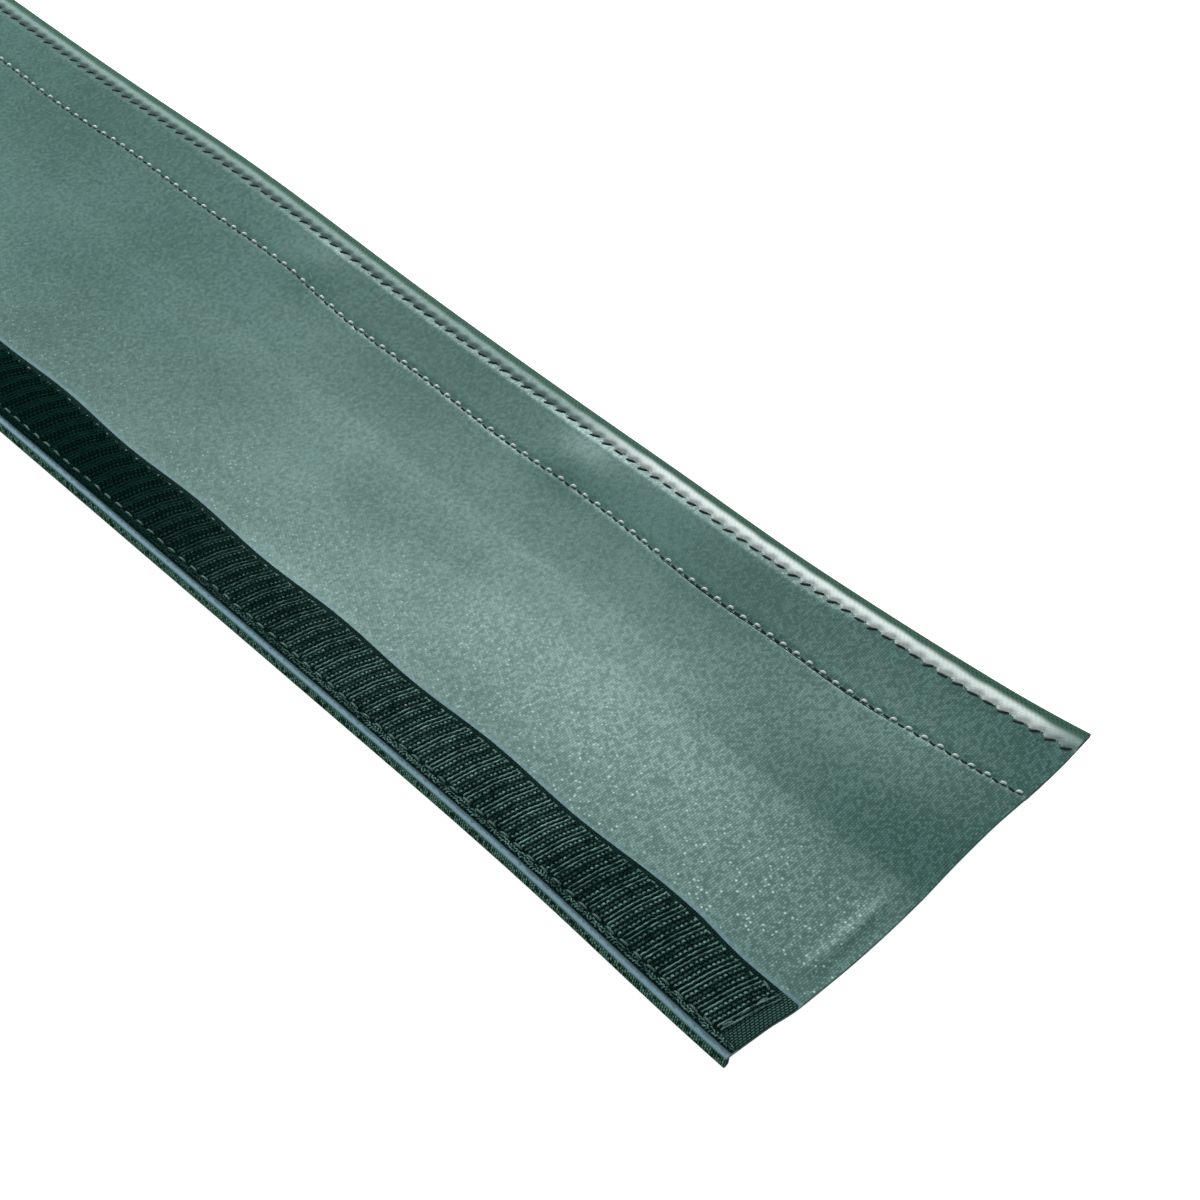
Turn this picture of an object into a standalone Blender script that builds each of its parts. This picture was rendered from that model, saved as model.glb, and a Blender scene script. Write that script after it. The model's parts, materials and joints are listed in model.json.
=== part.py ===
"""Webbing protector sleeve, laid open on its outer face.

One cloth carries a hook tape on its inner face along one long edge and a loop tape on its outer
face along the other. The cloth is divided at its fold lines, so that both flaps close over a
webbing: the loop flap first, the hook flap on top of it. +X runs along the sleeve, +Y from the
hook edge to the loop edge, +Z up. Distances across the sleeve are measured from the hook edge.
"""

import math

import bmesh
import bpy

# Cloth, thread and the clearance between pieces that lie on each other
SLEEVE_LENGTH = 0.500
CLOTH = 0.0008
THREAD = 0.0004
GAP = 0.0003

# Hook side: tape on the inner face, hem turned under
HOOK_TAPE_WIDTH = 0.016
HOOK_TAPE = 0.0014
HOOK_TAPE_MARGIN = 0.0026
HOOK_TAPE_TO_FOLD = 0.0048
HOOK_HEM_WIDTH = 0.010
HOOK_SEAM_OUTER_INSET = 0.0026
HOOK_SEAM_INNER_INSET = 0.0013
HOOK_SEAM_END_INSET = 0.005
HOOK_SEAM_CORNER = 0.003

# Loop side: tape on the outer face, hem rolled onto the inner face
LOOP_TAPE_WIDTH = 0.016
LOOP_TAPE = 0.0011
LOOP_TAPE_MARGIN = 0.0045
LOOP_TAPE_TO_FOLD = 0.0035
LOOP_SEAM_INSET = 0.0011
LOOP_HEM_WIDTH = 0.0062
LOOP_HEM = 0.0012
LOOP_HEM_SEAM_INSET = 0.0008
ROW_END_INSET = 0.0005

# Base and the strips that bend when a flap closes, two strips to a fold
BASE_WIDTH = 0.026
HOOK_FOLD_STRIP = 0.0098
LOOP_FOLD_STRIP = 0.006

# Lie of the cloth: the loop edge curls up at one end, the hook edge bows up between its ends
CURL_HEIGHT = 0.010
CURL_LENGTH = 0.044
CURL_POWER = 1.3
BOW_HEIGHT = 0.0023
BOW_END_LENGTH = 0.037
BOW_POWER = 1.5
HEM_RAMP = 0.007

# Mesh fineness
LENGTH_STEPS = 16
LENGTH_STEP_POWER = 1.5
CROSS_STEP = 0.002
CORNER_STEPS = 4

# Places across the sleeve
HOOK_TAPE_FROM = HOOK_TAPE_MARGIN
HOOK_TAPE_TO = HOOK_TAPE_FROM + HOOK_TAPE_WIDTH
HOOK_LINE_3 = HOOK_TAPE_TO + HOOK_TAPE_TO_FOLD
HOOK_LINE_2 = HOOK_LINE_3 + HOOK_FOLD_STRIP
HOOK_LINE_1 = HOOK_LINE_2 + HOOK_FOLD_STRIP
LOOP_LINE_1 = HOOK_LINE_1 + BASE_WIDTH
LOOP_LINE_2 = LOOP_LINE_1 + LOOP_FOLD_STRIP
LOOP_LINE_3 = LOOP_LINE_2 + LOOP_FOLD_STRIP
LOOP_TAPE_FROM = LOOP_LINE_3 + LOOP_TAPE_TO_FOLD
LOOP_TAPE_TO = LOOP_TAPE_FROM + LOOP_TAPE_WIDTH
CLOTH_WIDTH = LOOP_TAPE_TO + LOOP_TAPE_MARGIN
LOOP_HEM_FROM = CLOTH_WIDTH - LOOP_HEM_WIDTH

# A fold line lies on the cloth's inner face, so that the strips swing clear of each other
FOLD_HEIGHT = CLOTH
HALF_LENGTH = SLEEVE_LENGTH / 2

# Colours are linear; the numbers after them are roughness and metallic
FINISHES = {
    "satin_cloth": ((0.127, 0.242, 0.216), 0.45, 0.0),
    "hem_cloth": ((0.160, 0.280, 0.255), 0.42, 0.0),
    "hook_tape": ((0.010, 0.028, 0.025), 0.80, 0.0),
    "loop_tape": ((0.016, 0.040, 0.036), 0.90, 0.0),
    "thread": ((0.300, 0.430, 0.380), 0.55, 0.0),
}


def smooth_share(value, start, end):
    """0 at start and 1 at end, level at both."""
    share = min(max((value - start) / (end - start), 0.0), 1.0)
    return share * share * (3 - 2 * share)


def curl(x, across):
    """Lift of the loop flap towards its corner at the +X end."""
    if across <= LOOP_LINE_3:
        return 0.0
    share = (across - LOOP_LINE_3) / (CLOTH_WIDTH - LOOP_LINE_3)
    return CURL_HEIGHT * math.exp((x - HALF_LENGTH) / CURL_LENGTH) * share**CURL_POWER


def bow(x, across):
    """Lift of the hook edge, which comes down to the table at both ends."""
    if across >= HOOK_LINE_3:
        return 0.0
    share = 1 - across / HOOK_LINE_3
    to_end = HALF_LENGTH - abs(x)
    return BOW_HEIGHT * (1 - math.exp(-to_end / BOW_END_LENGTH)) * share**BOW_POWER


def lie(x, across):
    """Lowest level of whatever lies at this place."""
    return curl(x, across) + bow(x, across)


def build_up(across):
    """Height of the cloth's outer face above lie(): it stands on threads, hem and loop tape."""
    on_thread = THREAD + GAP
    hook_side = on_thread * smooth_share(across, HOOK_LINE_3, HOOK_TAPE_TO)
    hem = (CLOTH + GAP) * smooth_share(across, HOOK_HEM_WIDTH + HEM_RAMP, HOOK_HEM_WIDTH)
    on_tape = on_thread + LOOP_TAPE + GAP
    loop_side = on_tape * smooth_share(across, LOOP_LINE_3, LOOP_TAPE_FROM)
    return hook_side + hem + loop_side


def cloth_under(x, across):
    return lie(x, across) + build_up(across)


def cloth_top(x, across):
    return cloth_under(x, across) + CLOTH


def on_threads(x, across):
    return lie(x, across) + THREAD + GAP


def on_cloth(x, across):
    return cloth_top(x, across) + GAP


def on_hook_tape(x, across):
    return on_cloth(x, across) + HOOK_TAPE + GAP


def on_loop_hem(x, across):
    return on_cloth(x, across) + LOOP_HEM + GAP


def length_stations():
    """Places along the sleeve, closest together at the curled end."""
    return [
        HALF_LENGTH - SLEEVE_LENGTH * (1 - step / LENGTH_STEPS) ** LENGTH_STEP_POWER
        for step in range(LENGTH_STEPS + 1)
    ]


def cross_stations(start, end):
    """Places across a piece: its two edges, and the shared lines between them."""
    first = math.floor(start / CROSS_STEP) + 1
    last = math.ceil(end / CROSS_STEP)
    shared = [step * CROSS_STEP for step in range(first, last)]
    kept = [y for y in shared if start + CROSS_STEP / 4 < y < end - CROSS_STEP / 4]
    return [start, *kept, end]


def clear_scene():
    for obj in list(bpy.data.objects):
        bpy.data.objects.remove(obj, do_unlink=True)


def make_finish(name):
    colour, roughness, metallic = FINISHES[name]
    finish = bpy.data.materials.new(name)
    finish.use_nodes = True
    shader = finish.node_tree.nodes["Principled BSDF"]
    shader.inputs["Base Color"].default_value = (*colour, 1.0)
    shader.inputs["Roughness"].default_value = roughness
    shader.inputs["Metallic"].default_value = metallic
    return finish


def add_fold_line(name, across, height, parent):
    """An empty on a hinge's axis. It carries the pieces that turn about that axis."""
    line = bpy.data.objects.new(name, None)
    line.empty_display_size = 0.01
    collection.objects.link(line)
    line["across"] = across
    line["height"] = height
    line.parent = parent
    from_y = parent["across"] if parent else CLOTH_WIDTH / 2
    from_z = parent["height"] if parent else 0.0
    line.location = (0.0, across - from_y, height - from_z)
    return line


def attach(obj, carrier, finish):
    collection.objects.link(obj)
    obj.parent = carrier
    obj.data.materials.append(finishes[finish])
    return obj


def add_sheet(name, carrier, start, end, level, thickness, finish):
    """A strip from start to end across the sleeve, its lower face at level(x, across)."""
    along = length_stations()
    lines = cross_stations(start, end)
    mesh = bpy.data.meshes.new(name)
    bm = bmesh.new()
    steps_along, steps_across = len(along) - 1, len(lines) - 1
    bmesh.ops.create_grid(bm, x_segments=steps_along, y_segments=steps_across, size=0.5)
    for vert in bm.verts:
        x = along[round((vert.co.x + 0.5) * steps_along)]
        across = lines[round((vert.co.y + 0.5) * steps_across)]
        vert.co = (x, across - carrier["across"], level(x, across) - carrier["height"])
    raised = bmesh.ops.extrude_face_region(bm, geom=bm.faces[:])["geom"]
    upper = [item for item in raised if isinstance(item, bmesh.types.BMVert)]
    bmesh.ops.translate(bm, verts=upper, vec=(0.0, 0.0, thickness))
    bmesh.ops.recalc_face_normals(bm, faces=bm.faces[:])
    bm.to_mesh(mesh)
    bm.free()
    return attach(bpy.data.objects.new(name, mesh), carrier, finish)


def add_panel(name, carrier, start, end):
    """A panel of the cloth, half a gap short of the fold line at each side that has one."""
    low = start + GAP / 2 if start > 0 else start
    high = end - GAP / 2 if end < CLOTH_WIDTH else end
    return add_sheet(name, carrier, low, high, cloth_under, CLOTH, "satin_cloth")


def add_thread(name, carrier, places, level, closed=False):
    """A sewing thread through places (x, across), its lowest side at level(x, across)."""
    curve = bpy.data.curves.new(name, "CURVE")
    curve.dimensions = "3D"
    curve.bevel_depth = THREAD / 2
    curve.bevel_resolution = 1
    curve.use_fill_caps = not closed
    spline = curve.splines.new("POLY")
    spline.points.add(len(places) - 1)
    for point, (x, across) in zip(spline.points, places):
        height = level(x, across) + THREAD / 2 - carrier["height"]
        point.co = (x, across - carrier["across"], height, 1.0)
    spline.use_cyclic_u = closed
    return attach(bpy.data.objects.new(name, curve), carrier, "thread")


def row_places(across, end_inset):
    """Places of a straight row of stitches along the sleeve."""
    reach = HALF_LENGTH - end_inset
    inner = [x for x in length_stations() if abs(x) < reach - THREAD]
    return [(x, across) for x in (-reach, *inner, reach)]


def ring_places(low, high, end_inset, corner):
    """Places of a seam round a tape: two long rows and two end rows with round corners."""
    reach = HALF_LENGTH - end_inset
    straight = [x for x in length_stations() if abs(x) < reach - corner - THREAD]
    corners = (
        (reach - corner, low + corner, -90),
        (reach - corner, high - corner, 0),
        (corner - reach, high - corner, 90),
        (corner - reach, low + corner, 180),
    )
    places = [(x, low) for x in straight]
    for index, (x, across, turn) in enumerate(corners):
        for step in range(CORNER_STEPS + 1):
            angle = math.radians(turn + 90 * step / CORNER_STEPS)
            places.append((x + corner * math.cos(angle), across + corner * math.sin(angle)))
        if index == 1:
            places += [(x, high) for x in reversed(straight)]
    return places


def build_cloth(base, hook_lines, loop_lines):
    add_panel("base_panel", base, HOOK_LINE_1, LOOP_LINE_1)
    add_panel("hook_fold_strip_inner", hook_lines[0], HOOK_LINE_2, HOOK_LINE_1)
    add_panel("hook_fold_strip_outer", hook_lines[1], HOOK_LINE_3, HOOK_LINE_2)
    add_panel("hook_flap", hook_lines[2], 0.0, HOOK_LINE_3)
    add_panel("loop_fold_strip_inner", loop_lines[0], LOOP_LINE_1, LOOP_LINE_2)
    add_panel("loop_fold_strip_outer", loop_lines[1], LOOP_LINE_2, LOOP_LINE_3)
    add_panel("loop_flap", loop_lines[2], LOOP_LINE_3, CLOTH_WIDTH)


def build_hems(hook_flap_line, loop_flap_line):
    """The hook edge's hem is turned under, the loop edge's is rolled onto the inner face."""
    add_sheet(
        "hook_edge_hem", hook_flap_line, 0.0, HOOK_HEM_WIDTH, on_threads, CLOTH, "hem_cloth"
    )
    add_sheet(
        "loop_edge_hem", loop_flap_line, LOOP_HEM_FROM, CLOTH_WIDTH, on_cloth, LOOP_HEM, "hem_cloth"
    )


def build_hook_side(line):
    """The hook tape on the inner face and the two threads of the seam that runs round it."""
    add_sheet(
        "hook_tape", line, HOOK_TAPE_FROM, HOOK_TAPE_TO, on_cloth, HOOK_TAPE, "hook_tape"
    )
    places = ring_places(
        HOOK_TAPE_FROM + HOOK_SEAM_OUTER_INSET,
        HOOK_TAPE_TO - HOOK_SEAM_INNER_INSET,
        HOOK_SEAM_END_INSET,
        HOOK_SEAM_CORNER,
    )
    add_thread("hook_seam_upper_thread", line, places, on_hook_tape, closed=True)
    add_thread("hook_seam_lower_thread", line, places, lie, closed=True)


def build_loop_side(line):
    """The loop tape on the outer face, its inner seam, and the seam that it shares with the hem."""
    add_sheet(
        "loop_tape", line, LOOP_TAPE_FROM, LOOP_TAPE_TO, on_threads, LOOP_TAPE, "loop_tape"
    )
    inner = row_places(LOOP_TAPE_FROM + LOOP_SEAM_INSET, ROW_END_INSET)
    add_thread("loop_seam_upper_thread", line, inner, on_cloth)
    add_thread("loop_seam_lower_thread", line, inner, lie)
    outer = row_places(LOOP_HEM_FROM + LOOP_HEM_SEAM_INSET, ROW_END_INSET)
    add_thread("hem_seam_upper_thread", line, outer, on_loop_hem)
    add_thread("hem_seam_lower_thread", line, outer, lie)


def chain_of_lines(side, places, base):
    """The three fold lines of one side, each carried by the one before it."""
    lines = []
    for number, across in enumerate(places, start=1):
        parent = lines[-1] if lines else base
        lines.append(add_fold_line(f"{side}_fold_line_{number}", across, FOLD_HEIGHT, parent))
    return lines


clear_scene()
collection = bpy.data.collections.new("webbing_protector_sleeve")
bpy.context.scene.collection.children.link(collection)
finishes = {name: make_finish(name) for name in FINISHES}

base_frame = add_fold_line("base_frame", CLOTH_WIDTH / 2, 0.0, None)
hook_side_lines = chain_of_lines("hook", (HOOK_LINE_1, HOOK_LINE_2, HOOK_LINE_3), base_frame)
loop_side_lines = chain_of_lines("loop", (LOOP_LINE_1, LOOP_LINE_2, LOOP_LINE_3), base_frame)

build_cloth(base_frame, hook_side_lines, loop_side_lines)
build_hems(hook_side_lines[2], loop_side_lines[2])
build_hook_side(hook_side_lines[2])
build_loop_side(loop_side_lines[2])
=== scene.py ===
"""The sleeve's satin cloth, tapes, hems and seams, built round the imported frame, and the studio."""

import json
import math
import random

import bmesh
import bpy
from mathutils import Matrix, Vector, noise


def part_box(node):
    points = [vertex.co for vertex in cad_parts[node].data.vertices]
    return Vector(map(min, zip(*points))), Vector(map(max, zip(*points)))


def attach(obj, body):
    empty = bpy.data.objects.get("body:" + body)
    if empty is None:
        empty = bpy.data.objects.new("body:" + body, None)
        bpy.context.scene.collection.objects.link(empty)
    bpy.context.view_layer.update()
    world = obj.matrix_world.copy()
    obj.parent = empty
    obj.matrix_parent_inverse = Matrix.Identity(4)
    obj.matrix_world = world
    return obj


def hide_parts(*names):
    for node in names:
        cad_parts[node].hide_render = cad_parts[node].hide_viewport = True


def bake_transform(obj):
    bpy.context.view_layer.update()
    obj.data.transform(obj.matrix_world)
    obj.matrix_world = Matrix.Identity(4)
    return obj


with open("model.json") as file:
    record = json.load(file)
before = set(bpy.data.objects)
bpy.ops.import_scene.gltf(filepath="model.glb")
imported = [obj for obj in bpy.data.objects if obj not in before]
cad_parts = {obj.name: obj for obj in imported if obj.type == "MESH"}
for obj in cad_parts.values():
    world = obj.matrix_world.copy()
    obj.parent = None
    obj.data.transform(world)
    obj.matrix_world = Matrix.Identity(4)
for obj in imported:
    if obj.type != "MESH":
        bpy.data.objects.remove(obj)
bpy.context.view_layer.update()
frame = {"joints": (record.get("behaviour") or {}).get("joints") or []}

# Places on the flat cloth, in metres: x is along the sleeve, and c across it from the hook edge.
# The sleeve runs from -END_X to END_X, where its loop corner curls up.
MM = 0.001
END_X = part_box("base_panel")[1].x
HOOK_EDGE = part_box("hook_flap")[0].y
HINGE = {joint["name"]: joint["pos_m"][1] - HOOK_EDGE for joint in frame["joints"]}
FOLDS = ("fold", "fold_middle", "fold_outer")
HOOK_LINE_1, HOOK_LINE_2, HOOK_LINE_3 = (HINGE["hook_flap_" + fold] for fold in FOLDS)
LOOP_LINE_1, LOOP_LINE_2, LOOP_LINE_3 = (HINGE["loop_flap_" + fold] for fold in FOLDS)
HOOK_STRIP = HOOK_LINE_2 - HOOK_LINE_3
LOOP_STRIP = LOOP_LINE_3 - LOOP_LINE_2


def reach(node):
    """From where to where across the flat cloth a node of the frame reaches."""
    return [corner.y - HOOK_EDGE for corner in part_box(node)]


THREAD = 0.4 * MM
WIDTH = reach("loop_flap")[1]
HOOK_TAPE_FROM, HOOK_TAPE_TO = reach("hook_tape")
LOOP_TAPE_FROM, LOOP_TAPE_TO = reach("loop_tape")
HOOK_HEM_TO = reach("hook_edge_hem")[1]
LOOP_HEM_FROM = reach("loop_edge_hem")[0]
HOOK_SEAM_INNER = reach("hook_seam_upper_thread")[1] - THREAD / 2
HOOK_SEAM_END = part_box("hook_seam_upper_thread")[1].x - THREAD / 2
LOOP_SEAM = reach("loop_seam_upper_thread")[0] + THREAD / 2
HEM_SEAM = LOOP_HEM_FROM - 0.25 * MM
HEM_EDGE = WIDTH - 1.4 * MM
CAD_CLOTH = 0.8 * MM
CLOTH = 0.6 * MM
STITCH_PITCH = 3.9 * MM
GRID_ALONG = STITCH_PITCH / 6

# How the cloth lies. A pair is the two places between which something comes in or fades out,
# or the centre and the spread of a rise that bell() shapes.
# Places along the sleeve are counted from END_X, unless a name ends in X.
UNDER_HOOK_TAPE = 1.65 * MM
UNDER_HOOK_ACROSS = (55 * MM, 14 * MM)
UNDER_HOOK_SHIFT = 8 * MM
UNDER_HOOK_SHIFT_ALONG = (90 * MM, 160 * MM)
UNDER_HEM = 1.1 * MM
HEM_RAMP = 7 * MM
UNDER_LOOP_TAPE = 2.3 * MM
UNDER_LOOP_FROM = 63 * MM
UNDER_LOOP_TO = 97 * MM
UNDER_LOOP_SPREAD = 8 * MM
UNDER_LOOP_SPREAD_ALONG = (15 * MM, 70 * MM)
UNDER_LOOP_POWER = 1.55
CURL_HEIGHT = 9.85 * MM
CURL_LENGTH = 44 * MM
CURL_FROM = 54 * MM
CURL_POWER = 1.32
SWELL_HEIGHT = 1.55 * MM
SWELL_ACROSS = (68 * MM, 18 * MM)
SWELL_LENGTH = 45 * MM
BOW_HEIGHT = 0.85 * MM
BOW_END_LENGTH = 37 * MM
BOW_POWER = 1.5
# The loop side's rises: height, then centre and spread along, then the two places across.
EDGE_RISES = (
    (2.35 * MM, (268 * MM, 50 * MM), (20 * MM, 115 * MM)),
    (-0.5 * MM, (85 * MM, 25 * MM), (45 * MM, 85 * MM)),
    (0.3 * MM, (108 * MM, 28 * MM), (78 * MM, 96 * MM)),
)
TUCK_HEIGHT = 0.42 * MM
TUCKS = ((136 * MM, 89.5 * MM), (231 * MM, 90 * MM))
TUCK_SPREAD_ALONG = 9 * MM
TUCK_SPREAD_ACROSS = 6.5 * MM
RIPPLE_HEIGHT = 0.5 * MM
RIPPLE_LENGTH = 48 * MM
RIPPLE_STRETCH = 0.6
RIPPLE_HOOK_TO = 45 * MM
RIPPLE_LOOP_INSET = (15 * MM, 40 * MM)
END_RIDGE_HEIGHT = 0.23 * MM
END_RIDGE_ALONG = (5 * MM, 1.9 * MM)
END_RIDGE_ACROSS = (20 * MM, 29 * MM)
END_RIDGE_FADE_ACROSS = (42 * MM, 58 * MM)
GROOVE_DEPTH = 0.15 * MM
GROOVE_SPREAD = 0.8 * MM
GROOVE_EVEN = 0.55

# The cloth's outline and the loop seam's line.
END_CUT_REST = 0.15 * MM
END_CUT_SKEW = 1.45 * MM
END_CUT_SKEW_ACROSS = (26 * MM, 68 * MM)
END_CUT_FAR = 1.2 * MM
END_CUT_FAR_ACROSS = (74 * MM, 98 * MM)
CORNER_CUT = 1.25 * MM
CORNER_CUT_ACROSS = (-2 * MM, 20 * MM)
CUT_LENGTH = 40 * MM
HOOK_FLARE = 2.25 * MM
HOOK_FLARE_LENGTH = 46 * MM
HOOK_FLARE_FROM = 3 * MM
LOOP_SWAY = 1.2 * MM
LOOP_SWAY_ACROSS = (40 * MM, 95 * MM)
SEAM_SWAY = 2.5 * MM
SEAM_SWAY_ALONG = (-12 * MM, 55 * MM)
SEAM_SWAY_BACK = 0.9 * MM
SEAM_SWAY_BACK_ALONG = (75 * MM, 105 * MM)
SEAM_STRAIGHT_ALONG = (190 * MM, 240 * MM)
SEAM_RIPPLE = 0.35 * MM
SEAM_RIPPLE_CREST = 125 * MM
SEAM_RIPPLE_LENGTH = 58 * MM
SEAM_RIPPLE_ALONG = (0, 60 * MM)
SEAM_START = 0.4 * MM
SEAM_START_LENGTH = 5 * MM


def ease(value, start, end):
    """How far value has come from start to end, from 0 to 1, with a soft start and stop."""
    share = min(1.0, max(0.0, (value - start) / (end - start)))
    return share * share * (3 - 2 * share)


def bell(value, centre, spread):
    return math.exp(-(((value - centre) / spread) ** 2))


def swing(value, crest, length):
    """A wave from -1 to 1, with a crest at this value."""
    return math.cos(2 * math.pi * (value - crest) / length)


def needle_hole(x):
    """1 at the needle holes, and 0 half-way between them."""
    return 0.5 + 0.5 * swing(x, 0, STITCH_PITCH)


def lumps(x, c, size, seed):
    """Uneven values, -1 to 1, in lumps of this size."""
    return noise.noise(Vector((x / size, c / size, seed)))


def drift(x, length, seed):
    """Uneven values, -1 to 1, that change along the sleeve alone."""
    return noise.noise(Vector((x / length, seed, 0)))


def curl(x, c):
    """Towards END_X the cloth curls up off the table, most at its corner on the loop side."""
    share = max(0.0, c - CURL_FROM) / (WIDTH - CURL_FROM)
    corner = CURL_HEIGHT * share ** CURL_POWER * math.exp((x - END_X) / CURL_LENGTH)
    return corner + SWELL_HEIGHT * bell(c, *SWELL_ACROSS) * bell(END_X - x, 0, SWELL_LENGTH)


def bow(x, c):
    """The hook edge stands off the table between the two ends."""
    share = 1 - min(1.0, max(c, 0) / HOOK_LINE_3)
    return BOW_HEIGHT * (1 - math.exp((abs(x) - END_X) / BOW_END_LENGTH)) * share ** BOW_POWER


def seam_line(x):
    """Where the loop seam runs: on cloth guided by hand, it strays from the straight line."""
    way = END_X - x
    stray = SEAM_SWAY * ease(way, *SEAM_SWAY_ALONG)
    stray -= SEAM_SWAY_BACK * ease(way, *SEAM_SWAY_BACK_ALONG)
    stray *= 1 - ease(way, *SEAM_STRAIGHT_ALONG)
    ripple = SEAM_RIPPLE * swing(way, SEAM_RIPPLE_CREST, SEAM_RIPPLE_LENGTH)
    ripple *= ease(way, *SEAM_RIPPLE_ALONG)
    return LOOP_SEAM - stray + ripple + SEAM_START * math.exp(-way / SEAM_START_LENGTH)


def seam_wave(x, c):
    """The loop tape gathers the cloth, so its edge rises and falls, with a tuck here and there."""
    way = END_X - x
    edge = sum(
        height * bell(way, *along) * ease(c, *across_places)
        for height, along, across_places in EDGE_RISES
    )
    tucks = sum(
        bell(way, along, TUCK_SPREAD_ALONG) * bell(c, over, TUCK_SPREAD_ACROSS) for along, over in TUCKS
    )
    return edge + TUCK_HEIGHT * tucks


def ripples(x, c):
    """Slow rises of cloth that was rolled up, and a crease along the cut end."""
    rolled = 0.5 + 0.5 * lumps(x, RIPPLE_STRETCH * c, RIPPLE_LENGTH, 3.7)
    middle = ease(c, HOOK_TAPE_TO, RIPPLE_HOOK_TO) * ease(WIDTH - c, *RIPPLE_LOOP_INSET)
    ridge = bell(END_X - x, *END_RIDGE_ALONG)
    ridge *= ease(c, *END_RIDGE_ACROSS) * (1 - ease(c, *END_RIDGE_FADE_ACROSS))
    return middle * RIPPLE_HEIGHT * rolled + END_RIDGE_HEIGHT * ridge


def build_up(x, c):
    """The tapes and the turned hem lift the cloth, and between them it hangs down to the table."""
    way = END_X - x
    shift = UNDER_HOOK_SHIFT * ease(way, *UNDER_HOOK_SHIFT_ALONG)
    loop_to = UNDER_LOOP_TO + UNDER_LOOP_SPREAD * (1 - ease(way, *UNDER_LOOP_SPREAD_ALONG))
    loop_share = min(1.0, max(0.0, c - UNDER_LOOP_FROM) / (loop_to - UNDER_LOOP_FROM))
    return (
        UNDER_HOOK_TAPE * ease(c + shift, *UNDER_HOOK_ACROSS)
        + UNDER_HEM * ease(c, HOOK_HEM_TO + HEM_RAMP, HOOK_HEM_TO)
        + UNDER_LOOP_TAPE * loop_share ** UNDER_LOOP_POWER
    )


def groove(x, c):
    """The loop seam is pulled into the cloth, most at its needle holes."""
    return GROOVE_DEPTH * bell(c, seam_line(x), GROOVE_SPREAD) * (
        GROOVE_EVEN + (1 - GROOVE_EVEN) * needle_hole(x)
    )


def cloth_top(x, c):
    lie = curl(x, c) + bow(x, c) + seam_wave(x, c) + ripples(x, c)
    return lie + build_up(x, c) + CAD_CLOTH - groove(x, c)


def end_cut(c):
    """How far the hand-cut end stands out past the square line."""
    swell = END_CUT_REST + END_CUT_SKEW * (1 - ease(c, *END_CUT_SKEW_ACROSS))
    swell += END_CUT_FAR * ease(c, *END_CUT_FAR_ACROSS)
    return swell - CORNER_CUT * (1 - ease(c, *CORNER_CUT_ACROSS))


def cut_to_length(x, c):
    """The place along the sleeve once its end follows the cut."""
    return x + end_cut(c) * ease(x, END_X - CUT_LENGTH, END_X)


def across(x, c):
    """The place across: the hook side spreads near the end, and the rises draw the loop side in."""
    flare = HOOK_FLARE * bell(END_X - x, 0, HOOK_FLARE_LENGTH)
    flare *= 1 - ease(c, HOOK_FLARE_FROM, HOOK_TAPE_TO)
    return HOOK_EDGE + c - flare - LOOP_SWAY * ease(c, *LOOP_SWAY_ACROSS)


def on_sleeve(x, c, height=0.0):
    """The place over the cloth's top face, at a height above it."""
    return Vector((cut_to_length(x, c), across(x, c), cloth_top(x, c) + height))


# Materials. Each function makes one finish, and the effects that finishes share are node groups.
SATIN_DARK = (0.025, 0.088, 0.074, 1)
SATIN_MID = (0.043, 0.126, 0.108, 1)
SATIN_LIGHT = (0.072, 0.182, 0.160, 1)
# Painted glint: the colour of floats that catch the light.
SATIN_PAINTED_GLINT = (0.42, 0.60, 0.54, 1)
SATIN_SHINE = (0.70, 1.0, 0.96, 1)
SATIN_STREAK = 0.59
# Painted sheen: the pale blue reflection on the smooth strips along the hook tape.
RIM_PAINTED_SHEEN = (0.230, 0.385, 0.450, 1)
# Painted shade on the side of the hook edge's fold, with lighter weave beads.
FOLD_SIDE_SHADE = (0.004, 0.020, 0.014, 1)
FOLD_SIDE_SHADE_BEADS = (0.155, 0.350, 0.270, 1)
# Painted highlight on the rolled hem.
HEM_PAINTED_HIGHLIGHT = (0.86, 0.98, 0.95, 1)
HEM_GREY = (0.16, 0.27, 0.25, 1)
LIP_DARK = (0.022, 0.068, 0.042, 1)
LIP_GREEN = (0.068, 0.175, 0.125, 1)
TAPE_BLACK = (0.0008, 0.0065, 0.0052, 1)
TAPE_GREEN = (0.003, 0.032, 0.026, 1)
HOOK_GREY = (0.190, 0.375, 0.335, 1)
HOOK_DARK = (0.014, 0.050, 0.042, 1)
TAPE_END = (0.060, 0.150, 0.128, 1)
TAPE_SHINE = (0.45, 1.0, 0.92, 1)
PILE_GREEN = (0.022, 0.060, 0.050, 1)
THREAD_PALE = (0.90, 1.0, 0.97, 1)
THREAD_SHADE = (0.80, 0.94, 0.90, 1)
THREAD_DARK = (0.006, 0.020, 0.017, 1)
THREAD_GREEN = (0.095, 0.210, 0.185, 1)

# Where a finish changes, and where the painted glints and the hem's painted highlight fade in.
SATIN_SHARP_X = (END_X - 110 * MM, END_X - 20 * MM)
GLINTS_ACROSS = (60 * MM, 24 * MM)
HEM_HIGHLIGHT_X = (95 * MM, 140 * MM)
HEM_HIGHLIGHT_END_X = (END_X - 1 * MM, END_X - 13 * MM)
HOOK_LIGHT_X = (40 * MM, 190 * MM)


def add(tree, kind):
    return tree.nodes.new("ShaderNode" + kind)


def put(tree, socket, given):
    """Gives an input a number or colour, or links another node's output to it."""
    if isinstance(given, bpy.types.NodeSocket):
        tree.links.new(given, socket)
    else:
        socket.default_value = given


def fill(tree, node, inputs):
    for name, given in inputs.items():
        put(tree, node.inputs[name], given)


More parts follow.
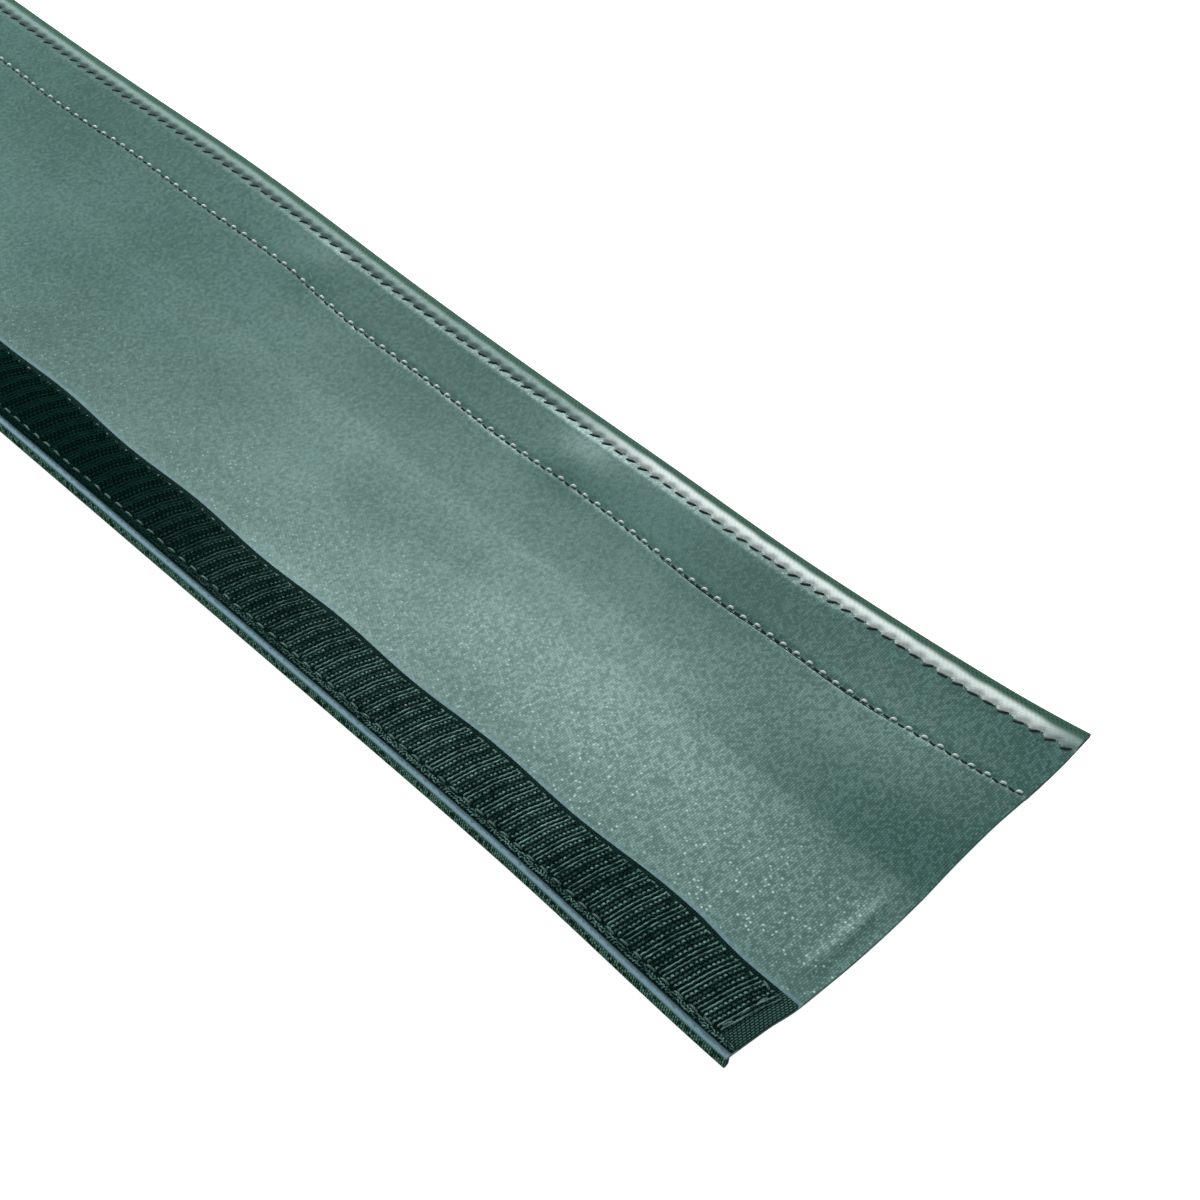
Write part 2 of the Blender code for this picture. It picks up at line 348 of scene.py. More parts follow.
def maths(tree, operation, *given, clamp=False):
    node = add(tree, "Math")
    node.operation = operation
    node.use_clamp = clamp
    for socket, value in zip(node.inputs, given):
        put(tree, socket, value)
    return node.outputs[0]


def times(tree, first, *others):
    for other in others:
        first = maths(tree, "MULTIPLY", first, other)
    return first


def plus(tree, first, *others):
    for other in others:
        first = maths(tree, "ADD", first, other)
    return first


def minus(tree, first, second):
    return maths(tree, "SUBTRACT", first, second)


def split(tree, place):
    """A place's X, Y and Z."""
    node = add(tree, "SeparateXYZ")
    put(tree, node.inputs[0], place)
    return node.outputs


def mixed(tree, share, first, second):
    node = add(tree, "Mix")
    node.data_type = "RGBA"
    for name, value in (("Factor_Float", share), ("A_Color", first), ("B_Color", second)):
        put(tree, next(s for s in node.inputs if s.identifier == name), value)
    return next(s for s in node.outputs if s.identifier == "Result_Color")


def ramp(tree, value, start, end, low=0.0, high=1.0):
    """Maps start to low and end to high, smoothly and with no overrun."""
    node = add(tree, "MapRange")
    node.interpolation_type = "SMOOTHSTEP"
    fill(tree, node, {"Value": value, "From Min": start, "From Max": end, "To Min": low, "To Max": high})
    return node.outputs["Result"]


def cloudy(tree, place, scale, detail=2.0):
    node = add(tree, "TexNoise")
    fill(tree, node, {"Vector": place, "Scale": scale, "Detail": detail})
    return node.outputs["Fac"]


def cells(tree, place, scale):
    node = add(tree, "TexVoronoi")
    fill(tree, node, {"Vector": place, "Scale": scale})
    return node.outputs


def start_group(name, numbers, outputs):
    """A node group that takes a place and numbers, with its input and output nodes."""
    tree = bpy.data.node_groups.new(name, "ShaderNodeTree")
    tree.interface.new_socket("Place", in_out="INPUT", socket_type="NodeSocketVector")
    for way, labels in (("INPUT", numbers), ("OUTPUT", outputs)):
        for label in labels:
            tree.interface.new_socket(label, in_out=way, socket_type="NodeSocketFloat")
    return tree, tree.nodes.new("NodeGroupInput").outputs, tree.nodes.new("NodeGroupOutput").inputs


def weave_group():
    """Satin floats: threads that are each tucked under at steps that shift from row to row."""
    tree, given, made = start_group("satin_floats", ["Pitch", "Float"], ["Height", "Tone"])
    place = split(tree, given["Place"])
    rows = maths(tree, "DIVIDE", place["X"], given["Pitch"])
    row = maths(tree, "FLOOR", rows)
    over = minus(tree, rows, row)
    round_over = times(tree, over, minus(tree, 1.0, over), 4.0)
    shifted = plus(tree, maths(tree, "DIVIDE", place["Y"], given["Float"]), times(tree, row, 0.4))
    step = maths(tree, "FLOOR", shifted)
    along = minus(tree, shifted, step)
    tucked = maths(tree, "MULTIPLY", times(tree, along, minus(tree, 1.0, along)), 7.0, clamp=True)
    put(tree, made["Height"], times(tree, round_over, tucked))
    cell = add(tree, "CombineXYZ")
    fill(tree, cell, {"X": row, "Y": step})
    chance = add(tree, "TexWhiteNoise")
    chance.noise_dimensions = "2D"
    put(tree, chance.inputs["Vector"], cell.outputs[0])
    put(tree, made["Tone"], chance.outputs["Value"])
    return tree


def glint_group():
    """Bright glints where single floats catch the light, in drifts."""
    tree, given, made = start_group("satin_glints", ["Size", "Rarity"], ["Fleck"])
    spots = cells(tree, given["Place"], given["Size"])
    near = ramp(tree, spots["Distance"], 0.40, 0.08)
    chance = add(tree, "SeparateColor")
    put(tree, chance.inputs[0], spots["Color"])
    gathered = minus(tree, cloudy(tree, given["Place"], 38.0, 3.0), 0.5)
    wanted = minus(tree, given["Rarity"], times(tree, gathered, 0.9))
    picked = ramp(tree, chance.outputs["Red"], wanted, plus(tree, wanted, 0.12))
    put(tree, made["Fleck"], times(tree, near, picked))
    return tree


def twist_group():
    """The slanted plies of a twisted thread."""
    tree, given, made = start_group("thread_plies", ["Pitch"], ["Height"])
    place = split(tree, given["Place"])
    slant = plus(tree, place["X"], place["Y"], place["Z"])
    turns = maths(tree, "DIVIDE", times(tree, slant, 2 * math.pi), given["Pitch"])
    put(tree, made["Height"], plus(tree, times(tree, maths(tree, "SINE", turns), 0.5), 0.5))
    return tree


GROUPS = {"weave": weave_group(), "glint": glint_group(), "twist": twist_group()}


def placed(tree, group, **given):
    node = add(tree, "Group")
    node.node_tree = GROUPS[group]
    fill(tree, node, given)
    return node.outputs


def start_material(name, slot_colour):
    material = bpy.data.materials.new(name)
    material.use_nodes = True
    material.diffuse_color = slot_colour
    tree = material.node_tree
    return material, tree, tree.nodes["Principled BSDF"]


def cloth_place(tree):
    """Metres along and across the flat cloth."""
    node = add(tree, "UVMap")
    node.uv_map = "cloth"
    return node.outputs["UV"]


def object_place(tree):
    return add(tree, "TexCoord").outputs["Object"]


def attribute(tree, name):
    node = add(tree, "Attribute")
    node.attribute_name = name
    return node.outputs["Fac"]


def bump(tree, shader, height, strength, distance):
    node = add(tree, "Bump")
    fill(tree, node, {"Strength": strength, "Distance": distance, "Height": height})
    put(tree, shader.inputs["Normal"], node.outputs["Normal"])


def satin_material():
    material, tree, shader = start_material("satin_cloth", SATIN_MID)
    place = cloth_place(tree)
    sides = split(tree, place)
    weave = placed(tree, "weave", Place=place, Pitch=0.58 * MM, Float=0.8 * MM)
    rim_sheen = attribute(tree, "rim_sheen")
    side = attribute(tree, "fold_side")
    plain = minus(tree, 1.0, maths(tree, "MAXIMUM", rim_sheen, side))
    by_end = ramp(tree, sides["X"], *SATIN_SHARP_X, 0.35, 1.0)
    by_tape = ramp(tree, sides["Y"], *GLINTS_ACROSS, 0.12, 1.0)
    glint = placed(tree, "glint", Place=place, Size=1050.0, Rarity=0.70)["Fleck"]
    glint = times(tree, glint, by_end, by_tape, plain)
    clouds = times(tree, cloudy(tree, place, 16.0, 3.0), 0.6)
    grain = times(tree, minus(tree, cloudy(tree, place, 1000.0), 0.5), 0.45)
    uneven = times(tree, minus(tree, weave["Tone"], 0.5), 0.55)
    floats = times(tree, minus(tree, weave["Height"], 0.6), 0.45)
    tone = plus(tree, clouds, 0.2, grain, times(tree, plus(tree, uneven, floats), by_end))
    colour = mixed(tree, ramp(tree, tone, 0.28, 0.56), SATIN_DARK, SATIN_MID)
    colour = mixed(tree, ramp(tree, tone, 0.46, 0.86), colour, SATIN_LIGHT)
    # Painted glints: floats that catch the light are lightened in colour here, and made shinier below; they
    # gather towards the hook tape and the end.
    colour = mixed(tree, times(tree, glint, 0.65), colour, SATIN_PAINTED_GLINT)
    # Painted sheen: the strips along the hook tape are painted pale blue.
    colour = mixed(tree, rim_sheen, colour, RIM_PAINTED_SHEEN)
    bead = times(tree, weave["Height"], plus(tree, weave["Tone"], 0.4))
    # Painted shade: the fold's side is painted dark, with lighter weave beads.
    fold_shade_colour = mixed(tree, ramp(tree, bead, 0.3, 0.95), FOLD_SIDE_SHADE, FOLD_SIDE_SHADE_BEADS)
    streak = add(tree, "Tangent")
    streak.direction_type = "UV_MAP"
    streak.uv_map = "cloth"
    shine = times(tree, ramp(tree, tone, 0.3, 0.75, 0.32, 0.58), plain)
    fill(tree, shader, {
        "Base Color": mixed(tree, side, colour, fold_shade_colour),
        "Roughness": ramp(tree, weave["Tone"], 0.0, 1.0, 0.42, 0.37),
        "Anisotropic": SATIN_STREAK,
        "Tangent": streak.outputs["Tangent"],
        "Specular IOR Level": plus(tree, shine, times(tree, glint, 1.2)),
        "Specular Tint": SATIN_SHINE,
    })
    height = times(tree, weave["Height"], ramp(tree, rim_sheen, 0.0, 1.0, 1.0, 0.25))
    bump(tree, shader, height, 0.3, 0.03 * MM)
    return material


def hem_material():
    material, tree, shader = start_material("hem_cloth", HEM_GREY)
    place = cloth_place(tree)
    x = split(tree, place)["X"]
    weave = placed(tree, "weave", Place=place, Pitch=0.45 * MM, Float=1.2 * MM)
    lip = attribute(tree, "lip")
    # Painted highlight: the roll is painted pale towards the end, fading to grey further along the sleeve
    # and dimmer in its last 13 mm.
    along = times(tree, ramp(tree, x, *HEM_HIGHLIGHT_X, 0.04, 1.0), ramp(tree, x, *HEM_HIGHLIGHT_END_X, 0.15, 1.0))
    clouds = times(tree, cloudy(tree, place, 120.0, 3.0), 0.6)
    ribbed = plus(tree, clouds, times(tree, attribute(tree, "twill"), 0.6))
    pale = times(tree, along, ramp(tree, ribbed, 0.25, 0.75, 0.82, 1.0))
    colour = mixed(tree, pale, HEM_GREY, HEM_PAINTED_HIGHLIGHT)
    lip_colour = mixed(tree, ramp(tree, weave["Height"], 0.2, 0.9), LIP_DARK, LIP_GREEN)
    fill(tree, shader, {
        "Base Color": mixed(tree, lip, colour, lip_colour),
        "Roughness": ramp(tree, weave["Tone"], 0.0, 1.0, 0.6, 0.45),
        "Specular IOR Level": ramp(tree, lip, 0.0, 1.0, 0.5, 0.08),
        "Specular Tint": SATIN_SHINE,
    })
    bump(tree, shader, weave["Height"], 0.5, 0.08 * MM)
    return material


def tape_ground_material():
    material, tree, shader = start_material("hook_tape_weave", TAPE_GREEN)
    place = cloth_place(tree)
    weave = placed(tree, "weave", Place=place, Pitch=0.52 * MM, Float=0.95 * MM)
    worn = times(tree, weave["Height"], cloudy(tree, place, 300.0, 3.0))
    dark = mixed(tree, ramp(tree, worn, 0.1, 0.55), TAPE_BLACK, TAPE_GREEN)
    light = mixed(tree, ramp(tree, weave["Height"], 0.35, 0.95), TAPE_BLACK, TAPE_END)
    fill(tree, shader, {
        "Base Color": mixed(tree, attribute(tree, "flattened"), dark, light),
        "Roughness": ramp(tree, weave["Tone"], 0.0, 1.0, 0.85, 0.7),
        "Specular IOR Level": 0.12,
        "Specular Tint": TAPE_SHINE,
    })
    bump(tree, shader, weave["Height"], 0.9, 0.16 * MM)
    return material


def hook_wire_material():
    material, tree, shader = start_material("hook_tape_wire", HOOK_GREY)
    place = object_place(tree)
    tone = cloudy(tree, place, 700.0)
    patches = times(tree, cloudy(tree, place, 60.0), 0.4)
    share = ramp(tree, plus(tree, times(tree, tone, 0.8), patches), 0.42, 0.8)
    wires = mixed(tree, share, HOOK_DARK, HOOK_GREY)
    light = ramp(tree, split(tree, place)["X"], *HOOK_LIGHT_X)
    fill(tree, shader, {
        "Base Color": mixed(tree, light, TAPE_GREEN, wires),
        "Roughness": ramp(tree, tone, 0.3, 0.7, 0.6, 0.45),
        "Specular IOR Level": times(tree, light, 0.25),
        "Specular Tint": TAPE_SHINE,
    })
    return material


def loop_pile_material():
    material, tree, shader = start_material("loop_tape_pile", TAPE_GREEN)
    place = cloth_place(tree)
    loops = cells(tree, place, 1500.0)["Distance"]
    fibres = cloudy(tree, place, 1800.0, 4.0)
    share = ramp(tree, plus(tree, loops, times(tree, fibres, 0.5)), 0.3, 0.9)
    fill(tree, shader, {
        "Base Color": mixed(tree, share, PILE_GREEN, TAPE_BLACK),
        "Roughness": ramp(tree, fibres, 0.3, 0.7, 0.95, 0.75),
        "Specular IOR Level": 0.2,
        "Sheen Weight": 0.15,
        "Sheen Roughness": 0.5,
        "Sheen Tint": TAPE_SHINE,
    })
    bump(tree, shader, minus(tree, 1.0, loops), 1.0, 0.3 * MM)
    return material


def thread_material(name, light, dark, roughness, sheen=0.05):
    material, tree, shader = start_material(name, light)
    place = object_place(tree)
    plies = placed(tree, "twist", Place=place, Pitch=0.42 * MM)["Height"]
    fuzz = cloudy(tree, place, 1400.0)
    share = ramp(tree, plus(tree, times(tree, plies, 0.5), times(tree, fuzz, 0.6)), 0.25, 0.75)
    fill(tree, shader, {
        "Base Color": mixed(tree, share, dark, light),
        "Roughness": ramp(tree, fuzz, 0.3, 0.7, roughness + 0.1, roughness - 0.1),
        "Sheen Weight": sheen,
    })
    bump(tree, shader, plies, 0.6, 0.06 * MM)
    return material


# A look is a material, and the slot of the record that it belongs to.
SATIN = (satin_material(), "satin_cloth")
HEM = (hem_material(), "hem_cloth")
TAPE_GROUND = (tape_ground_material(), "hook_tape")
HOOK_WIRE = (hook_wire_material(), "hook_tape")
LOOP_PILE = (loop_pile_material(), "loop_tape")
PALE_THREAD = (thread_material("pale_thread", THREAD_PALE, THREAD_SHADE, 0.45, 0.6), "light_thread")
DARK_THREAD = (thread_material("dark_thread", THREAD_DARK, TAPE_BLACK, 0.7), "dark_thread")
GREEN_THREAD = (thread_material("green_thread", THREAD_GREEN, HOOK_DARK, 0.55), "dark_thread")


# Making and placing pieces.
SHARP = math.radians(50)


def linked(name, data):
    """A new object in the scene."""
    thing = bpy.data.objects.new(name, data)
    bpy.context.scene.collection.objects.link(thing)
    return thing


def from_bmesh(name, bm, material):
    mesh = bpy.data.meshes.new(name)
    bm.to_mesh(mesh)
    bm.free()
    mesh.materials.append(material)
    return linked(name, mesh)


def finished(name, bm, look, *nodes):
    """The piece that stands in for the nodes, with a sharp edge where faces meet at more than SHARP."""
    for edge in bm.edges:
        edge.smooth = not (len(edge.link_faces) == 2 and edge.calc_face_angle(0.0) > SHARP)
    for face in bm.faces:
        face.smooth = True
    material, slot = look
    piece = from_bmesh(name, bm, material)
    if nodes:
        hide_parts(*nodes)
    return piece


def riding(name, bm, look, body, *nodes):
    """A finished piece that rides on one body."""
    piece = finished(name, bm, look, *nodes)
    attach(piece, body)
    return piece


def steps(start, end, size):
    """Evenly spaced values from start to end, no further apart than size."""
    count = max(1, math.ceil(abs(end - start) / size - 1e-6))
    return [start + (end - start) * i / count for i in range(count + 1)]


def cloth_strip(xs, cs, place, thickness, marks=(), both_faces=False):
    """A strip of cloth on a grid of its flat places, set where place(x, c) says, with its wall below.
    marks are (attribute name, function of the flat place) pairs that the materials read.
    They are on the outer face alone, unless both_faces is set."""
    bm = bmesh.new()
    bmesh.ops.create_grid(bm, x_segments=len(xs) - 1, y_segments=len(cs) - 1, size=1)
    uv = bm.loops.layers.uv.new("cloth")
    layers = [(bm.verts.layers.float.new(name), mark) for name, mark in marks]
    flat = {}
    for vert in bm.verts:
        column = round((vert.co.x + 1) / 2 * (len(xs) - 1))
        row = round((vert.co.y + 1) / 2 * (len(cs) - 1))
        flat[vert] = (xs[column], cs[row])
    for face in bm.faces:
        for loop in face.loops:
            loop[uv].uv = flat[loop.vert]
    for vert, (x, c) in flat.items():
        vert.co = place(x, c)
        for layer, mark in layers:
            vert[layer] = mark(x, c)
    bmesh.ops.recalc_face_normals(bm, faces=bm.faces)
    top = list(bm.faces)
    bm.normal_update()
    if sum(face.normal.z for face in top) < 0:
        bmesh.ops.reverse_faces(bm, faces=top)
    bmesh.ops.solidify(bm, geom=top, thickness=thickness)
    for vert in bm.verts:
        if vert not in flat and not both_faces:
            for layer, mark in layers:
                vert[layer] = 0.0
    return bm


def everything(bm, but=()):
    """All vertices, edges and faces, except those in but."""
    return [item for kind in (bm.verts, bm.edges, bm.faces) for item in kind if item not in but]


def copies_along(bm, geometry, count, step):
    """The same geometry again, count times in all, each a step further."""
    bmesh.ops.spin(
        bm, geom=geometry, cent=(0, 0, 0), axis=(0, 0, 1), dvec=step, angle=0,
        steps=count - 1, use_duplicate=True,
    )


def wire(bm, sides, radius, start, moves):
    """A closed wire: start is the matrix that places its first end, and each of moves draws it on."""
    ring = bmesh.ops.create_circle(bm, segments=sides, radius=radius, cap_ends=True, matrix=start)
    end = ring["verts"][0].link_faces[0]
    for step, move in enumerate(moves):
        made = bmesh.ops.extrude_face_region(bm, geom=[end])["geom"]
        if step > 0:
            bmesh.ops.delete(bm, geom=[end], context="FACES_ONLY")
        end = next(item for item in made if isinstance(item, bmesh.types.BMFace))
        bmesh.ops.transform(bm, matrix=move, verts=end.verts)


# The cloth. Strips meet edge to edge half-way between the fold lines.
HOOK_CUT_1 = HOOK_LINE_3 + HOOK_STRIP / 2
HOOK_CUT_2 = HOOK_LINE_2 + HOOK_STRIP / 2
MIDDLE_CUT = (HOOK_LINE_1 + LOOP_LINE_1) / 2
LOOP_CUT_1 = LOOP_LINE_1 + LOOP_STRIP / 2
LOOP_CUT_2 = LOOP_LINE_2 + LOOP_STRIP / 2
FLAP_EDGE = HEM_EDGE - 0.1 * MM
CLOTH_STEP = 1.0 * MM
FLAP_STEP = 0.45 * MM
FOLD_STEP = 0.2 * MM
SEAM_STEP = 0.5 * MM
ALONG = steps(-END_X, END_X, GRID_ALONG)

# The fold on the hook edge, from the crease round to the turned hem.
CREASE_RADIUS = 0.35 * MM
CREASE_FROM = 0.8 * MM
FOLD_SIDE = 1.8 * MM
FOLD_SIDE_LEAN = 0.45 * MM
FOLD_BOTTOM_RADIUS = 0.65 * MM
FOLD_PINCH = 1.15 * MM
FOLD_PINCH_LENGTH = 4 * MM
FIRST_ARC = CREASE_RADIUS * math.pi / 2
SECOND_ARC = FOLD_BOTTOM_RADIUS * math.pi / 2
FOLD_WAY = FIRST_ARC + FOLD_SIDE + SECOND_ARC
HEM_WAY = FOLD_WAY + HOOK_HEM_TO - FOLD_BOTTOM_RADIUS
HEM_SET_BACK = 1.6 * MM
HEM_SET_BACK_ACROSS = (1 * MM, 4 * MM)
HEM_SET_BACK_X = (0.9 * END_X, END_X)


def fold_outline(way):
    """(c, drop below the top face) of the outer face, by the way round from the crease's start."""
    if way < FIRST_ARC:
        turn = way / CREASE_RADIUS
        return CREASE_FROM - CREASE_RADIUS * math.sin(turn), CREASE_RADIUS * (1 - math.cos(turn))
    way -= FIRST_ARC
    c, drop = CREASE_FROM - CREASE_RADIUS, CREASE_RADIUS
    if way < FOLD_SIDE:
        share = way / FOLD_SIDE
        return c - FOLD_SIDE_LEAN * math.sin(share * math.pi / 2), drop + FOLD_SIDE * share
    way -= FOLD_SIDE
    c, drop = c - FOLD_SIDE_LEAN, drop + FOLD_SIDE
    if way < SECOND_ARC:
        turn = way / FOLD_BOTTOM_RADIUS
        return c + FOLD_BOTTOM_RADIUS * (1 - math.cos(turn)), drop + FOLD_BOTTOM_RADIUS * math.sin(turn)
    way -= SECOND_ARC
    pinch = FOLD_PINCH * ease(way, 0, FOLD_PINCH_LENGTH)
    return c + FOLD_BOTTOM_RADIUS + way, drop + FOLD_BOTTOM_RADIUS - pinch


def hook_flap_place(x, c):
    """On top where c is past the crease, and below that round the fold and back as the turned hem."""
    if c >= CREASE_FROM:
        return on_sleeve(x, c)
    at, drop = fold_outline(CREASE_FROM - c)
    level = cloth_top(x, max(at, CREASE_FROM))
    set_back = HEM_SET_BACK * ease(at, *HEM_SET_BACK_ACROSS)
    set_back *= ease(abs(x), *HEM_SET_BACK_X)
    return Vector((cut_to_length(x, at) - math.copysign(set_back, x), across(x, at), level - drop))


TAPE_WAVE = 0.45 * MM
TAPE_WAVE_CREST = 36 * MM
TAPE_WAVE_LENGTH = 50 * MM
TAPE_NARROW = 1.25 * MM
TAPE_NARROW_ALONG = (11 * MM, 28 * MM)
TAPE_OUTER_SHIFT = 0.55 * MM
RIM_WIDTH = 0.75 * MM
RIM_FADE = 0.6 * MM
RIM_WOBBLE = 0.25 * MM
INNER_RIM_SHEEN = 0.5
FOLD_SIDE_FADE = (0.3 * MM, 0.6 * MM)
MARK_INSET = 1 * MM


def tape_wander(x, c):
    """The hook tape's inner edge runs in slow waves, and its outer edge is shifted."""
    way = END_X - x
    wave = TAPE_WAVE * swing(way, TAPE_WAVE_CREST, TAPE_WAVE_LENGTH)
    inner = (TAPE_NARROW + wave) * ease(way, *TAPE_NARROW_ALONG) - TAPE_NARROW
    share = (c - HOOK_TAPE_FROM) / (HOOK_TAPE_TO - HOOK_TAPE_FROM)
    return share * inner - (1 - share) * TAPE_OUTER_SHIFT


def rim_sheen_mark(x, c):
    """1 on the smooth strips of cloth along both edges of the hook tape, fading to 0 past them. The satin
    paints a pale blue sheen on them.
    """
    inner = HOOK_TAPE_TO + tape_wander(x, HOOK_TAPE_TO)
    if c < HOOK_TAPE_FROM + MARK_INSET:
        return ease(c, CREASE_FROM - CREASE_RADIUS, CREASE_FROM)
    if c < inner - MARK_INSET:
        return 0.0
    end = inner + RIM_WIDTH + RIM_WOBBLE * drift(x, 9 * MM, 5.3)
    return INNER_RIM_SHEEN * (1 - ease(c, end, end + RIM_FADE))


# Where the fold's side is painted dark as shade.
def fold_side_mark(x, c):
    way = CREASE_FROM - c
    past = ease(way, FOLD_WAY, FOLD_WAY + MARK_INSET)
    return ease(way, *FOLD_SIDE_FADE) * (1 - past)


FLAP_ROWS = (
    steps(CREASE_FROM - HEM_WAY, CREASE_FROM - FOLD_WAY, CLOTH_STEP)[:-1]
    + steps(CREASE_FROM - FOLD_WAY, CREASE_FROM, FOLD_STEP)[:-1]
    + steps(CREASE_FROM, HOOK_CUT_1, FLAP_STEP)
)
FLAP_MARKS = [("rim_sheen", rim_sheen_mark), ("fold_side", fold_side_mark)]
hook_flap_satin = finished(
    "hook_flap_satin",
    cloth_strip(ALONG, FLAP_ROWS, hook_flap_place, CLOTH, FLAP_MARKS),
    SATIN,
    "hook_flap",
    "hook_edge_hem",
)


def flat_strip(name, start, end, *nodes, step=CLOTH_STEP):
    return finished(name, cloth_strip(ALONG, steps(start, end, step), on_sleeve, CLOTH), SATIN, *nodes)


hook_fold_outer_satin = flat_strip("hook_fold_outer_satin", HOOK_CUT_1, HOOK_CUT_2, "hook_fold_strip_outer")
hook_fold_inner_satin = flat_strip(
    "hook_fold_inner_satin", HOOK_CUT_2, MIDDLE_CUT, "hook_fold_strip_inner", "base_panel"
)
loop_fold_inner_satin = flat_strip(
    "loop_fold_inner_satin", MIDDLE_CUT, LOOP_CUT_1, "loop_fold_strip_inner", "base_panel"
)
loop_fold_outer_satin = flat_strip("loop_fold_outer_satin", LOOP_CUT_1, LOOP_CUT_2, "loop_fold_strip_outer")
loop_flap_satin = flat_strip("loop_flap_satin", LOOP_CUT_2, FLAP_EDGE, "loop_flap", step=SEAM_STEP)


def bend(piece, start, end):
    """Bakes the piece's placement into its mesh."""
    across(0, start)
    across(0, end)
    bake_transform(piece)


bend(hook_flap_satin, HOOK_LINE_3 - HOOK_STRIP / 2, HOOK_CUT_1)
bend(hook_fold_outer_satin, HOOK_CUT_1, HOOK_CUT_2)
bend(hook_fold_inner_satin, HOOK_CUT_2, HOOK_LINE_1 + HOOK_STRIP / 2)
bend(loop_fold_inner_satin, LOOP_LINE_1 - LOOP_STRIP / 2, LOOP_CUT_1)
bend(loop_fold_outer_satin, LOOP_CUT_1, LOOP_CUT_2)
bend(loop_flap_satin, LOOP_CUT_2, LOOP_LINE_3 + LOOP_STRIP / 2)


# The rolled hem on the loop edge: a raised roll, then a thin lip that laps over the cloth's edge.
ROLL_FROM = LOOP_HEM_FROM - 0.05 * MM
ROLL_TO = HEM_EDGE - 1.25 * MM
ROLL_HEIGHT = 0.85 * MM
ROLL_SQUARE = 10
ROLL_END_LENGTH = 14 * MM
ROLL_END_HEIGHT = 0.6
ROLL_UNEVEN = 0.10
LIP_HEIGHT = 0.3 * MM
LIP_WRAP = 1.2 * MM
LIP_FADE = (ROLL_TO - 1.7 * MM, ROLL_TO - 0.3 * MM)
LIP_WOBBLE = 0.25 * MM
HEM_THICKNESS = 0.3 * MM
HEM_STEP_ALONG = 0.42 * MM
HEM_STEP_ACROSS = 0.3 * MM
TWILL_PITCH = 0.95 * MM
TWILL_HEIGHT = 0.15 * MM
TWILL_WANDER = 1.5
SCALLOP = 0.6 * MM


def lip_mark(x, c):
    wobble = LIP_WOBBLE * drift(x, 5 * MM, 2.1)
    return ease(c - wobble, *LIP_FADE)


def twill_mark(x, c):
    """The slanted ribs of the rolled cloth, which the lip doesn't have."""
    wander = TWILL_WANDER * noise.noise(Vector((x / (6 * MM), c / (2 * MM), 0)))
    rib = 0.5 + 0.5 * math.sin(2 * math.pi * (x * 0.8 + c * 0.6) / TWILL_PITCH + wander)
    return rib * (1 - lip_mark(x, c))


def loop_hem_place(x, c):
    """The roll's outer face. Past the cloth's edge the lip turns down over it."""
    if c > HEM_EDGE:
        way = c - HEM_EDGE
        turn = min(way / LIP_HEIGHT, math.pi / 2)
        down = LIP_HEIGHT * (1 - math.cos(turn)) + max(0.0, way - LIP_HEIGHT * math.pi / 2)
        return on_sleeve(x, HEM_EDGE, LIP_HEIGHT) + Vector((0, LIP_HEIGHT * math.sin(turn), -down))
    start = ROLL_FROM + SCALLOP * needle_hole(x) * (c < ROLL_TO - 1 * MM)
    share = min(1.0, max(0.0, (c - start) / (ROLL_TO - start)))
    crown = math.sqrt(1 - (2 * share - 1) ** ROLL_SQUARE)
    crown *= ROLL_END_HEIGHT + (1 - ROLL_END_HEIGHT) * ease(END_X - x, 0, ROLL_END_LENGTH)
    uneven = 1 + ROLL_UNEVEN * drift(x, 11 * MM, 7.7)
    height = LIP_HEIGHT * ease(share, 0, 0.3) + (ROLL_HEIGHT - LIP_HEIGHT) * crown * uneven
    return on_sleeve(x, c, height + TWILL_HEIGHT * twill_mark(x, c) * crown)


loop_edge_roll = riding(
    "loop_edge_roll",
    cloth_strip(
        steps(-END_X, END_X, HEM_STEP_ALONG),
        steps(ROLL_FROM, HEM_EDGE + LIP_WRAP, HEM_STEP_ACROSS),
        loop_hem_place,
        HEM_THICKNESS,
        [("lip", lip_mark), ("twill", twill_mark)],
        both_faces=True,
    ),
    HEM,
    "loop_side",
    "loop_edge_hem",
)


# The hook tape: a woven ground, and in turn three rows of small hooks and two ribs.
GROUND = 0.5 * MM
GROUND_EDGE = 0.5 * MM
GROUND_STEP = 0.5 * MM
GROUND_EDGE_HEIGHT = 0.55
GROUND_LIFT = 0.12 * MM
TAPE_INSET = 0.15 * MM
ROW_PITCH = 1.05 * MM
ROW_GROUP = 5
HOOK_ROWS = 3
TAPE_SEAM = HOOK_TAPE_FROM + 1.7 * MM
HOOK_FROM = TAPE_SEAM + 0.4 * MM
HOOK_TO = HOOK_TAPE_TO - 1.65 * MM
HOOK_PITCH = 1.0 * MM
HOOK_COUNT = round((HOOK_TO - HOOK_FROM) / HOOK_PITCH) + 1
HOOK_RADIUS = 0.25 * MM
HOOK_STEM = 0.45 * MM
HOOK_CROOK = 0.27 * MM
HOOK_TURN = math.radians(190)
HOOK_BENDS = 4
RIB_RADIUS = 0.21 * MM
RIB_LENGTH = HOOK_TO - HOOK_FROM + 0.5 * MM
RIB_LEVEL = 0.45 * MM
RIB_STEPS = 22
RIB_WAVE = 0.12 * MM
ROW_SKEW = 0.13
ROW_END_RAGGED = 0.5 * MM
ROW_END_LENGTH = 2 * MM
DETAIL_LIFT = 0.1 * MM
DETAIL_END = END_X - 0.1 * MM
SHIVER = 0.12 * MM
SHIVER_SIZE = 1.3 * MM
SHIVER_HEIGHT = 0.22
FLAT_ALONG = (3.6 * MM, 5.2 * MM)
FLAT_HEIGHT = 0.7
FLAT_MARK_ACROSS = (HOOK_TAPE_FROM + 1 * MM, HOOK_TAPE_FROM + 2.5 * MM)
BARE_END = 4.0 * MM
GROUP_STEP = ROW_GROUP * ROW_PITCH
